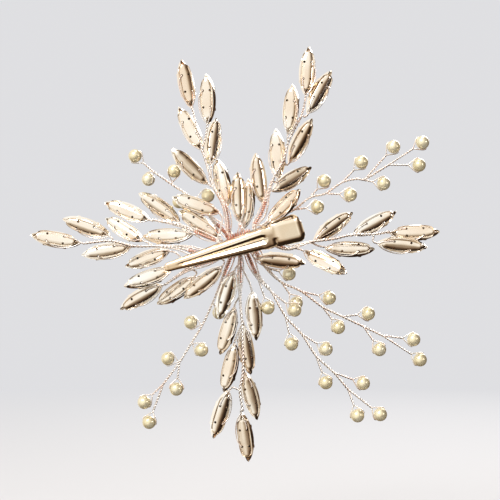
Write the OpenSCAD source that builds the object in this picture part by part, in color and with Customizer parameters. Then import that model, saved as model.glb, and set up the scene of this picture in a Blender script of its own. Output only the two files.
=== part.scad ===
// Bridal hair clip: eleven wired sprigs of navette stones and pearls tied to a sprung two-jaw clip.
// Frame: X to the right and Z up in the plane of the ornament, Y through it. The clip is on the -Y
// side and the stones show their faces to +Y. The origin is where the closed jaws grip the hair.

/* [Clip] */
// Angle of the clip's length above X, in degrees
clip_angle = 17; // [10:1:20]
// Roll of the clip about its own length, in degrees
clip_roll = 8; // [4:1:10]
// Distance from the origin to the tip of the jaws
tip_reach = 22.5; // [22:0.5:25]
// Distance from the origin to the pivot pin
pivot_reach = 7.5; // [7:0.5:8]
// Length of each thumb pad past its bend
pad_len = 9; // [8:0.5:9]
// Half of the width of a thumb pad
pad_half = 3.5; // [3.2:0.1:3.6]
// Angle at which each thumb pad bends away, in degrees
pad_angle = 25; // [20:1:26]
// Thickness of the clip's sheet metal
sheet = 0.5; // [0.4:0.05:0.6]
// Radius of the pivot pin
pin_r = 0.75; // [0.6:0.05:0.8]

/* [Stones] */
// Length of a navette setting
stone_len = 15; // [14:0.5:15.5]
// Width of a navette setting at its rim
stone_wid = 5; // [4.5:0.1:5.2]
// Depth of a setting's cup
cup_depth = 1.9; // [1.7:0.1:2.1]
// Width of the flat strip at the back of a setting
strip_wid = 2.8; // [2.4:0.1:3]

/* [Pearls] */
// Radius of a pearl
pearl_r = 2; // [1.8:0.1:2.1]

/* [Wires] */
// Radius of a sprig's twisted main stem
stem_r = 0.45; // [0.35:0.05:0.5]
// Radius of the twisted stalk of one stone or pearl
stalk_r = 0.3; // [0.25:0.05:0.35]
// Radius of the single wire that is looped round a pearl
loop_r = 0.2; // [0.15:0.05:0.22]

/* [Hidden] */
gap = 0.05;
// How far a stalk starts inside its stem
root = 0.2;

rose = [0.80, 0.60, 0.53];
copper = [0.72, 0.42, 0.33];
cream = [0.93, 0.87, 0.80];
crystal = [0.86, 0.80, 0.74];

// ---- Sprigs ----
// A stem is [x, y, z] points from its outer end to the bundle, chosen by hand.
// A stone is [stem point, x, y, z of its inner end, heading, rise, roll]: the heading is counted
// from X towards Z, the rise lifts its tip to +Y, and the roll turns it about its own length.
left_low_line = [[-47, 6, 0.3], [-39, 5.6, 1], [-32, 5.2, -0.5], [-26, 5, -0.5], [-19, 4.8, -1],
    [-13, 4.8, -2.4], [-8.6, 4.8, -1.9]];
left_low = [
    [0, -48, 6.5, 0.5, 170, 0, 10], [1, -39.5, 6, 2.5, 161, 5, -15],
    [2, -33, 6.4, -0.8, 189, 0, 0], [3, -30, 6.2, 1.6, 150, 26, 10]];

left_high_line = [[-27, 8.8, 7.4], [-18.5, 8.4, 5.5], [-11, 7.4, 2.4], [-7.6, 5.8, 1.2]];
left_high = [
    [0, -28, 9.4, 7.4, 159, 10, 0], [1, -19.2, 9.2, 6.5, 145, 5, -20],
    [2, -14.8, 7.8, 3.2, 182, 0, 15], [3, -6.8, 8, 1.8, 147, 4, -10],
    [3, -6.9, 7.6, 9.5, 161, 2, 10]];

lower_left_line = [[-23, 5.9, -11.9], [-15.5, 5.4, -7], [-9, 5, -4.8], [-7, 5, -3.8]];
lower_left = [
    [1, -22, 8.6, -1.8, 200, 14, 0], [1, -20.8, 5.2, -7, 199, -10, 15],
    [0, -23.8, 6, -12.2, 210, 10, -10], [1, -14.3, 9, -9.5, 215, 14, 15],
    [3, -6, 5.8, -6.4, 220, 0, 0]];

top_left_line = [[-12, 7, 28], [-10, 6.4, 21.5], [-9, 6, 17.5], [-5.5, 5.6, 11.5], [-4.4, 5.4, 7],
    [-4.2, 5, 3.8]];
top_left = [
    [0, -15, 7.5, 40.5, 102, 4, 10], [0, -10.5, 7, 35.5, 92, 0, -10],
    [1, -12.3, 7, 28, 118, 8, 0], [2, -9.3, 7.6, 23.8, 83, 16, 20],
    [2, -10.2, 6, 17.8, 135, -6, 10], [3, -4.9, 6.2, 11.5, 103, 12, -15]];

top_pair_line = [[-0.9, 5.2, 6.2], [-0.5, 5.2, 4.8]];
top_pair = [[0, -0.7, 5.6, 6.6, 92, 4, 15], [0, 0.2, 9, 4.8, 85, 4, -10]];

top_right_line = [[17.4, 7.5, 38.2], [13.5, 7, 30.5], [12, 6.4, 25], [8.7, 6, 18.7], [5.7, 5.6, 9.7],
    [3.4, 5.2, 5.8]];
top_right = [
    [0, 18.6, 8, 44.2, 86, 5, 0], [0, 19.5, 7.6, 38.8, 61, 8, 15],
    [1, 13.2, 6.8, 32.5, 85, 0, -10], [2, 13.8, 9.4, 24.2, 62, 0, 10],
    [3, 10.2, 7.4, 19.6, 93, 6, -15], [3, 9, 8, 16, 32, 20, 0],
    [4, 6, 6, 12.2, 98, 0, 10], [5, 6.9, 5.4, 6.5, 46, 15, -20]];

right_line = [[43.5, 8, 3.8], [38.7, 6.2, 3], [32, 5.8, 2.8], [26.7, 5.4, 1.6], [19.8, 5, 0.7],
    [13.5, 4.8, -1.2], [8, 4.9, 0.6], [5.4, 4.9, 1.9]];
right = [
    [0, 43.6, 9, 3.5, 2, 0, -10], [1, 39.6, 6.2, 0.2, -5, 0, 10],
    [2, 32.7, 6, 2.9, 28, 10, 0], [4, 24.4, 8.2, -0.8, -1, 4, -15],
    [4, 21.4, 7.4, 1.1, 36, 14, 10], [5, 17.8, 6.8, -1.8, -28, -26, 0],
    [7, 3.6, 7.4, -4.4, -6, 0, 15]];

bottom_line = [[0, 6.8, -49.2], [-0.9, 6.4, -43], [0, 6, -37.2], [-0.3, 5.8, -23.4], [-0.9, 5.4, -15.2],
    [-0.8, 5, -6], [-0.8, 5, -3.8]];
bottom = [
    [0, -0.6, 7, -50, -82, 6, 10], [1, -4.2, 6.6, -43.2, -107, 0, -10],
    [2, 0.4, 7.2, -37.8, -75, 4, 0], [3, -2.7, 9.2, -29.6, -103, 6, 15],
    [3, 0.3, 7, -23.7, -81, 0, -15], [4, -2.7, 8.6, -18.6, -107, 4, 10],
    [5, 2.7, 6.2, -13.8, -85, 6, 0], [5, -2.5, 5.3, -7.8, -107, 0, -10]];

// A pearl is [stem point, x, y, z of its centre]
top_right_pearl_line = [[43.5, 12, 23.8], [36.5, 11.6, 19.6], [34, 11.4, 19.6], [29.5, 11.2, 18.5],
    [24.6, 11, 15.2], [20, 10.8, 14], [15.3, 10.6, 10.4], [9.5, 10.6, 7.5], [4, 8.6, 3]];
top_right_pearls = [[0, 53.7, 12.5, 30.5], [0, 52.6, 11.8, 23.7], [1, 45, 12, 29.2],
    [2, 42, 12, 18.2], [3, 35.4, 12, 24.6], [4, 32, 11, 14.8], [5, 24.3, 12, 19],
    [6, 22.2, 11, 11.2]];

top_left_pearl_line = [[-27, 13.4, 22], [-21.3, 13, 18], [-15.5, 12.6, 14], [-9, 12.2, 7.5],
    [-3, 8.2, 1.2]];
top_left_pearls = [[0, -32.4, 13.8, 26.6], [0, -28.5, 15, 19.6], [1, -20.7, 13.4, 22],
    [2, -19.2, 13.4, 12.8], [2, -10.5, 13, 14.6]];

right_pearl_line = [[41.7, 12, -27.2], [36, 11.8, -24.5], [29.7, 11.6, -21.5], [23.7, 11.4, -18.6],
    [17.4, 11.2, -14], [11.4, 11.4, -11.2], [7, 11.2, -7], [2.4, 8.2, 0.4]];
right_pearls = [[0, 53, 12.5, -34.5], [0, 51, 12, -28.4], [1, 40.8, 12, -31.4],
    [2, 37.5, 12.5, -20.7], [3, 28.5, 12, -24.8], [4, 25.8, 12, -16], [5, 15.9, 12, -17.5],
    [6, 13.8, 12.6, -8.8]];

lower_right_pearl_line = [[31.2, 9, -43], [27, 8.8, -38], [21.6, 8.6, -32.9], [17.4, 8.4, -26.5],
    [12.6, 8.2, -21.3], [8.4, 8, -14], [4.2, 7.8, -9.2], [0.8, 8, -1.6]];
lower_right_pearls = [[0, 40.8, 9.5, -50.5], [0, 34, 9, -50.8], [1, 35.7, 9, -41.2],
    [2, 24.6, 9, -41], [3, 24.6, 8, -31], [4, 14.4, 8.6, -29.5], [5, 15.3, 7.6, -19.4],
    [6, 7.4, 8.6, -18.8]];

lower_left_pearl_line = [[-23.7, 10.6, -41.5], [-18.9, 10.2, -35], [-15.3, 10, -29.2],
    [-12, 9.8, -23.8], [-9, 9.6, -17.3], [-6.5, 9.4, -11.2], [-3, 8, -2.2]];
lower_left_pearls = [[0, -28, 11, -53], [0, -29.4, 10.4, -47], [1, -19.8, 10, -43],
    [1, -22.4, 11, -34], [2, -12.3, 10, -31.4], [3, -15.6, 11, -23.2], [4, -7.2, 12.4, -20.4]];

// ---- Small helpers ----
function dot(a, b) = a * b;
function unit(a) = a / norm(a);

// A point on the smooth curve through p[i] and p[i + 1]
function before(p, i) = i == 0 ? 2 * p[0] - p[1] : p[i - 1];
function after(p, i) = i + 2 < len(p) ? p[i + 2] : 2 * p[i + 1] - p[i];
function on_curve(p, i, t) = 0.5 * (2 * p[i] + (p[i + 1] - before(p, i)) * t
    + (2 * before(p, i) - 5 * p[i] + 4 * p[i + 1] - after(p, i)) * t * t
    + (3 * p[i] - before(p, i) - 3 * p[i + 1] + after(p, i)) * t * t * t);
function smooth(p, steps) = concat(
    [for (i = [0 : len(p) - 2], k = [0 : steps - 1]) on_curve(p, i, k / steps)], [p[len(p) - 1]]);

// The frame of each ring, carried along the line without twisting
function heading(p, i) = unit(p[min(i + 1, len(p) - 1)] - p[max(i - 1, 0)]);
function any_side(t) = unit(cross(t, abs(t[1]) < 0.8 ? [0, 1, 0] : [1, 0, 0]));
function carried(s, t) = unit(s - dot(s, t) * t);
function sides(p, i = 0, s = undef) = i == len(p) ? [] :
    let (n = is_undef(s) ? any_side(heading(p, 0)) : carried(s, heading(p, i)))
    concat([n], sides(p, i + 1, n));

// A round wire along a line, as one closed tube
module tube(p, r, n = 8) {
    s = sides(p);
    rings = [for (i = [0 : len(p) - 1]) let (u = s[i], v = cross(heading(p, i), u))
        for (k = [0 : n - 1]) p[i] + r * (cos(360 * k / n) * u + sin(360 * k / n) * v)];
    last = (len(p) - 1) * n;
    walls = [for (i = [0 : len(p) - 2], k = [0 : n - 1]) let (a = i * n + k, b = i * n + (k + 1) % n)
        [a, a + n, b + n, b]];
    ends = [[for (k = [0 : n - 1]) k], [for (k = [n - 1 : -1 : 0]) last + k]];
    polyhedron(rings, concat(walls, ends));
}

// ---- Clip ----
module clip_frame() {
    rotate([0, -clip_angle, 0])
        rotate([clip_roll, 0, 0])
            children();
}

ear_r = 1.9;
ear_outer = 3.05;
ear_inner = 2.4;
ear_thick = 0.45;
wall_step = 0.45;
seam = 0.03;
bend = pivot_reach + 1.5;
blade_half = 3.05;
tip_half = 1.3;
back_y = 3.1;
tip_y = 1.1;
pad_rise = pad_len * tan(pad_angle);

// Half width of the blade at a distance along the clip, less an inset
function half_at(x, inset) = let (t = (x + tip_reach) / (tip_reach + 4))
    min(blade_half, tip_half + (blade_half - tip_half) * t) - inset;
// Height of the blade's arched back at a distance along the clip
function arch(x) = let (t = (x + tip_reach) / (tip_reach + bend))
    tip_y + (back_y - tip_y) * (1 - (1 - t) * (1 - t));

// The outline of a jaw from above, blade and pad
module jaw_plan(inset) {
    polygon(concat(
        [for (x = [-tip_reach : 4 : bend]) [x, half_at(x, inset)]],
        [[bend + 0.6, half_at(bend, inset)], [bend + 0.6, -half_at(bend, inset)]],
        [for (x = [bend : -4 : -tip_reach]) [x, -half_at(x, inset)]]));
    translate([-tip_reach, 0])
        circle(r = tip_half - inset, $fn = 40);
}

module pad_plan() {
    round = 2;
    translate([bend, -pad_half])
        square([pad_len - round, 2 * pad_half]);
    translate([bend + 0.5, -pad_half + round])
        square([pad_len - 0.5, 2 * (pad_half - round)]);
    for (s = [-1, 1])
        translate([bend + pad_len - round, s * (pad_half - round)])
            circle(r = round, $fn = 40);
}

// The side view of the blade's solid, drop below its back
module blade_profile(drop, floor_y) {
    near = -tip_reach - tip_half - 0.1;
    back = [for (x = [-tip_reach : 3 : bend]) [x, arch(x) - drop]];
    polygon(concat([[near, floor_y], [near, tip_y - drop]], back,
        [[bend + 0.05, back_y - drop], [bend + 0.05, floor_y]]));
}

// Turns a side view drawn in length and depth into a solid across the clip
module across(half) {
    translate([0, 0, -half])
        linear_extrude(2 * half)
            children();
}

// Turns a plan drawn in length and width into a solid through the clip
module through(depth) {
    translate([0, depth, 0])
        rotate([90, 0, 0])
            linear_extrude(depth)
                children();
}

// One stamped half: an arched, hollow blade with a flat pad bent away behind the pivot
module jaw_half(ear_at, wall_end) {
    difference() {
        intersection() {
            through(back_y + 1)
                jaw_plan(0);
            across(5)
                blade_profile(0, seam);
        }
        intersection() {
            translate([0, -1, 0])
                through(back_y + 2)
                    jaw_plan(sheet);
            across(5)
                blade_profile(sheet, -1);
        }
        // the walls step back behind the tip so that hair and binding wire fit between the jaws
        translate([-tip_reach + 4, -1, -5])
            cube([30, 1 + wall_step, 10]);
        // the walls stop short of the pivot
        translate([wall_end, -1, -5])
            cube([10, 1 + back_y - sheet, 10]);
    }
    // pad
    intersection() {
        through(back_y + pad_rise + 1)
            pad_plan();
        across(5)
            polygon([[bend - 0.02, back_y - sheet], [bend - 0.02, back_y],
                [bend + pad_len + 1, back_y + (pad_len + 1) * tan(pad_angle)],
                [bend + pad_len + 1, back_y + (pad_len + 1) * tan(pad_angle) - sheet / cos(pad_angle)],
                [bend + 0.2, back_y - sheet]]);
    }
    // ears
    for (s = [-1, 1])
        translate([pivot_reach, 0, s * (ear_at - ear_thick / 2) - ear_thick / 2])
            linear_extrude(ear_thick) {
                circle(r = ear_r, $fn = 48);
                translate([-ear_r, 0])
                    square([2 * ear_r, back_y - sheet / 2]);
            }
}

module fixed_jaw() {
    color(rose)
        clip_frame()
            difference() {
                jaw_half(ear_inner, 5);
                translate([pivot_reach, 0, -5])
                    cylinder(r = pin_r + 0.02, h = 10, $fn = 48);
            }
}

module moving_jaw() {
    color(rose)
        clip_frame()
            mirror([0, 1, 0])
                difference() {
                    jaw_half(ear_outer, 5);
                    translate([pivot_reach, 0, -5])
                        cylinder(r = pin_r + 0.05, h = 10, $fn = 48);
                    // long groove pressed into the back of the blade
                    groove();
                }
}

groove_depth = 0.22;
module groove() {
    intersection() {
        translate([0, 0.5, 0])
            through(back_y + 2)
                polygon([[-tip_reach + 3, 0.25], [bend - 3, 1.1], [bend - 1.4, 0], [bend - 3, -1.1],
                    [-tip_reach + 3, -0.25]]);
        difference() {
            across(2)
                blade_profile(-1, 0);
            across(3)
                blade_profile(groove_depth, -1);
        }
    }
}

module pivot_pin() {
    head = 0.35;
    color(rose)
        clip_frame()
            translate([pivot_reach, 0, 0]) {
                translate([0, 0, -ear_outer - 0.1])
                    cylinder(r = pin_r, h = 2 * ear_outer + 0.2, $fn = 48);
                for (s = [-1, 1])
                    translate([0, 0, s * (ear_outer + 0.1 + head / 2) - head / 2])
                        cylinder(r = pin_r + 0.35, h = head, $fn = 48);
            }
}

// Spring wire: a leg under the fixed pad, the coil round the pin, and a leg under the moving pad
spring_wire = 0.25;
coil_r = 1.15;
coil_half = 1.45;
coil_turns = 4;
leg = 6.5;
leg_angle = pad_angle + 2;
module torsion_spring() {
    steps = 12;
    turns = coil_turns - (2 * leg_angle) / 360;
    total = coil_turns * steps;
    coil = [for (i = [0 : total]) let (a = 90 + leg_angle + 360 * turns * i / total)
        [pivot_reach + coil_r * cos(a), coil_r * sin(a), coil_half * (2 * i / total - 1)]];
    reach = [leg * cos(leg_angle), leg * sin(leg_angle), 0];
    start = coil[0] + reach;
    end = coil[total] + [reach[0], -reach[1], 0];
    color(cream)
        clip_frame()
            tube(concat([start], coil, [end]), spring_wire, 6);
}

// ---- Bundle and binding ----
bundle_r = 1.5;
bundle_y = 4.9;
bundle_low = -8;
bundle_high = 5;
module stem_bundle() {
    color(copper)
        clip_frame()
            translate([bundle_low, bundle_y, 0])
                rotate([0, 90, 0])
                    cylinder(r = bundle_r, h = bundle_high - bundle_low, $fn = 32);
}

// Separate turns of binding wire round the fixed jaw and the bundle
binding_wire = 0.4;
binding_turns = 7;
module racetrack(grow) {
    low = -0.15 - grow;
    high = bundle_y + bundle_r + 0.15 + grow;
    side = blade_half + 0.15 + grow;
    corner = 0.6;
    translate([low, -side + corner])
        square([high - low, 2 * (side - corner)]);
    translate([low + corner, -side])
        square([high - low - 2 * corner, 2 * side]);
    for (y = [low + corner, high - corner], s = [-1, 1])
        translate([y, s * (side - corner)])
            circle(r = corner, $fn = 24);
}

module jaw_binding() {
    pitch = 1.15;
    color(copper)
        clip_frame()
            for (i = [0 : binding_turns - 1])
                translate([-4.2 + i * pitch, 0, 0])
                    rotate([90, 0, 90])
                        linear_extrude(binding_wire)
                            difference() {
                                racetrack(binding_wire - 0.2);
                                racetrack(-0.1);
                            }
}

// ---- Stones ----
arc_steps = 6;
// Outline of a pointed oval, from tip to tip and back, length along x
function oval(l, w) = let (r = (l * l + w * w) / (4 * w), a = asin(l / 2 / r))
    concat(
        [for (k = [0 : arc_steps - 1]) let (t = -a + 2 * a * k / arc_steps)
            [r * sin(t), r * cos(t) - r + w / 2]],
        [for (k = [0 : arc_steps - 1]) let (t = a - 2 * a * k / arc_steps)
            [r * sin(t), -(r * cos(t) - r + w / 2)]]);
function at_level(o, y, lift = 0) = [for (k = [0 : len(o) - 1])
    [o[k][0], y + (k % arc_steps == 2 || k % arc_steps == 4 ? lift : 0), o[k][1]]];

// A closed solid through a list of equal loops, capped at both ends
module skin(loops) {
    n = len(loops[0]);
    rows = len(loops);
    points = [for (l = loops) each l];
    walls = [for (i = [0 : rows - 2], k = [0 : n - 1]) let (a = i * n + k, b = i * n + (k + 1) % n)
        each [[a, a + n, b + n], [a, b + n, b]]];
    ends = [[for (k = [0 : n - 1]) k], [for (k = [n - 1 : -1 : 0]) (rows - 1) * n + k]];
    polyhedron(points, concat(walls, ends));
}

cup_wall = 0.3;
claw = 0.7;
hole_r = 0.3;
hole_x = stone_len / 3;
hole_z = strip_wid / 2 - 0.65;
prong_r = 0.2;
// One cup, its inner end at the origin, its back strip at y = 0 and its length along x
module setting() {
    inner = stone_len - 2.4 * cup_wall;
    difference() {
        translate([stone_len / 2, 0, 0])
            skin([at_level(oval(stone_len - 1.4, strip_wid), 0),
                at_level(oval(stone_len, stone_wid), cup_depth, claw),
                at_level(oval(inner, stone_wid - 2 * cup_wall), cup_depth, claw),
                at_level(oval(stone_len - 2.4, strip_wid - 0.5), cup_wall)]);
        // two wire holes along each edge of the strip
        for (x = [hole_x, 2 * hole_x], s = [-1, 1])
            translate([x, 2 * cup_wall, s * hole_z])
                rotate([90, 0, 0])
                    cylinder(r = hole_r, h = 3 * cup_wall, $fn = 16);
    }
}

// One cut stone, seated in its cup with its table to +Y
module stone() {
    len_in = stone_len - 3.4 * cup_wall;
    wid_in = stone_wid - 1.5;
    translate([stone_len / 2, 0, 0])
        skin([at_level(oval(len_in - 3.4, strip_wid - 1.3), cup_wall + gap),
            at_level(oval(len_in, wid_in), cup_depth - 0.1),
            at_level(oval(len_in * 0.72, wid_in * 0.55), cup_depth + 0.95)]);
}

module placed(s) {
    translate([s[1], s[2], s[3]])
        rotate([0, -s[4], 0])
            rotate([0, 0, s[5]])
                rotate([s[6], 0, 0])
                    children();
}

module settings(list) {
    color(rose)
        for (s = list)
            placed(s)
                setting();
}

module stones(list) {
    color(crystal)
        for (s = list)
            placed(s)
                stone();
}

// Where a point (x, y, 0) of a setting is once the setting is placed
function on_setting(s, x, y) = let (
        z = y * sin(s[6]),
        along = x * cos(s[5]) - y * cos(s[6]) * sin(s[5]),
        up = x * sin(s[5]) + y * cos(s[6]) * cos(s[5]))
    [s[1] + along * cos(s[4]) - z * sin(s[4]), s[2] + up, s[3] + along * sin(s[4]) + z * cos(s[4])];

// The wire's two ends turn up from under the strip into its first two holes
under = stalk_r + gap;
cup_lead = 0.7;
module prongs() {
    top = cup_wall - gap;
    tube([[hole_x, top, -hole_z], [hole_x, -under, -hole_z], [hole_x, -under, hole_z],
        [hole_x, top, hole_z]], prong_r);
}

// A stalk starts inside its stem, bends where it meets the cup and follows the strip to the holes
module stalk(from, s) {
    to = on_setting(s, cup_lead, -under);
    tube([from - root * unit(to - from), to, on_setting(s, hole_x + prong_r / 2, -under)], stalk_r);
    placed(s)
        prongs();
}

module stem(line) {
    color(rose)
        tube(smooth(line, 3), stem_r);
}

module stone_wires(line, list) {
    stem(line);
    color(rose)
        for (s = list)
            stalk(line[s[0]], s);
}

// ---- Pearls ----
loop_gap = 0.25;
module pearl_frame(from, to) {
    d = from - to;
    translate(to)
        rotate([0, acos(d[2] / norm(d)), atan2(d[1], d[0])])
            children();
}

// The wire passes through the pearl, hugs both sides of it and meets below as the stalk
module pearl_loop(from, to) {
    ring = pearl_r + loop_gap;
    below = norm(from - to) - ring + root;
    pearl_frame(from, to) {
        rotate([90, 0, 0])
            rotate([0, 0, -8])
                rotate_extrude(angle = 196, $fn = 48)
                    translate([ring, 0])
                        circle(r = loop_r, $fn = 16);
        translate([-ring, 0, 0])
            rotate([0, 90, 0])
                cylinder(r = loop_r - 0.06, h = 2 * ring, $fn = 16);
        translate([0, 0, ring])
            cylinder(r = stalk_r, h = below, $fn = 16);
    }
}

module pearl_wires(line, list) {
    stem(line);
    color(rose)
        for (p = list)
            pearl_loop(line[p[0]], [p[1], p[2], p[3]]);
}

module pearls(line, list) {
    color(cream)
        for (p = list)
            pearl_frame(line[p[0]], [p[1], p[2], p[3]])
                rotate([0, 90, 0])
                    rotate_extrude($fn = 40)
                        difference() {
                            circle(r = pearl_r, $fn = 40);
                            translate([-2 * pearl_r, -2 * pearl_r])
                                square([2 * pearl_r + loop_r + 0.02, 4 * pearl_r]);
                        }
}

moving_jaw();
fixed_jaw();
pivot_pin();
torsion_spring();
stem_bundle();
jaw_binding();
stone_wires(left_low_line, left_low);  // left_low_stem
settings(left_low);  // left_low_settings
stones(left_low);  // left_low_stones
stone_wires(left_high_line, left_high);  // left_high_stem
settings(left_high);  // left_high_settings
stones(left_high);  // left_high_stones
stone_wires(lower_left_line, lower_left);  // lower_left_stem
settings(lower_left);  // lower_left_settings
stones(lower_left);  // lower_left_stones
stone_wires(top_left_line, top_left);  // top_left_stem
settings(top_left);  // top_left_settings
stones(top_left);  // top_left_stones
stone_wires(top_pair_line, top_pair);  // top_pair_stem
settings(top_pair);  // top_pair_settings
stones(top_pair);  // top_pair_stones
stone_wires(top_right_line, top_right);  // top_right_stem
settings(top_right);  // top_right_settings
stones(top_right);  // top_right_stones
stone_wires(right_line, right);  // right_stem
settings(right);  // right_settings
stones(right);  // right_stones
stone_wires(bottom_line, bottom);  // bottom_stem
settings(bottom);  // bottom_settings
stones(bottom);  // bottom_stones
pearl_wires(top_right_pearl_line, top_right_pearls);  // pearls_top_right_wire
pearls(top_right_pearl_line, top_right_pearls);  // pearls_top_right
pearl_wires(top_left_pearl_line, top_left_pearls);  // pearls_top_left_wire
pearls(top_left_pearl_line, top_left_pearls);  // pearls_top_left
pearl_wires(right_pearl_line, right_pearls);  // pearls_right_wire
pearls(right_pearl_line, right_pearls);  // pearls_right
pearl_wires(lower_right_pearl_line, lower_right_pearls);  // pearls_lower_right_wire
pearls(lower_right_pearl_line, lower_right_pearls);  // pearls_lower_right
pearl_wires(lower_left_pearl_line, lower_left_pearls);  // pearls_lower_left_wire
pearls(lower_left_pearl_line, lower_left_pearls);  // pearls_lower_left
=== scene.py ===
"""Bridal hair clip, seen from its clip side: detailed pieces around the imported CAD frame.

Lengths in the tables are millimetres, as in the part's own source; MM turns them into metres.
"""
import math
import random

import bmesh
import bpy
import numpy as np
from mathutils import Matrix, Vector


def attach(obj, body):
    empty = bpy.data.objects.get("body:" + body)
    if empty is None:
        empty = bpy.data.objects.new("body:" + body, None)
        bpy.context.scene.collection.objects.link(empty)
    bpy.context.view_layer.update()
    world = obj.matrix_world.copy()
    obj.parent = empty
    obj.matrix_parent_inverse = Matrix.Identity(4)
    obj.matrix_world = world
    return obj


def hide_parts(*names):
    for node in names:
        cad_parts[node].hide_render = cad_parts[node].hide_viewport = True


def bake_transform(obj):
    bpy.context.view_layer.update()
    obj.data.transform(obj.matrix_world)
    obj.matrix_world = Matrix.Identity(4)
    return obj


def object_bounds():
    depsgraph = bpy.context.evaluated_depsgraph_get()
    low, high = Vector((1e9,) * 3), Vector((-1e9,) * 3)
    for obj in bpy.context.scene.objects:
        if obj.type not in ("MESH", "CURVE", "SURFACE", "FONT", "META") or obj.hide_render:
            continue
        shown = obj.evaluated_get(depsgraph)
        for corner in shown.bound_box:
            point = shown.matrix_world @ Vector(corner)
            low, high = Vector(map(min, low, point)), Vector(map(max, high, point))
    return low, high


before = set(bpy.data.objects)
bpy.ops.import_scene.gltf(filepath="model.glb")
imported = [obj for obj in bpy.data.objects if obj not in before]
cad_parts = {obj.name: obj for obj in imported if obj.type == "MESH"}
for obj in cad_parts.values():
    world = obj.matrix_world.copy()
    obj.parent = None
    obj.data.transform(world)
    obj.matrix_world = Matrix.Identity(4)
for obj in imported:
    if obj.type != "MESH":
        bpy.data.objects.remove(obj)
cad_low, cad_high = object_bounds()
MM = 0.001
random.seed(7)

# ---- The design's dimensions, in mm and degrees ----
CLIP_ANGLE = 17
CLIP_ROLL = 8
TIP_REACH = 22.5
PIVOT_REACH = 7.5
PAD_LEN = 9
PAD_HALF = 3.5
PAD_ANGLE = 25
SHEET = 0.5
STONE_LEN = 15
STONE_WID = 5
CUP_DEPTH = 1.9
STRIP_HALF = 1.4
CUP_SHEET = 0.22
HOLE_R = 0.36
HOLE_X = (STONE_LEN / 3, STONE_LEN * 2 / 3)
HOLE_Z = 1.05
CLAW_X = (STONE_LEN * 0.3, STONE_LEN * 0.7)
# share of the cups, besides the first of each sprig, whose tips are left open
OPEN_SHARE = 0.2
WIRE_R = 0.17
PEARL_R = 2
PEARL_BORE = 0.22
BUNDLE_R = 1.5
BUNDLE_Y = 4.9

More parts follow.
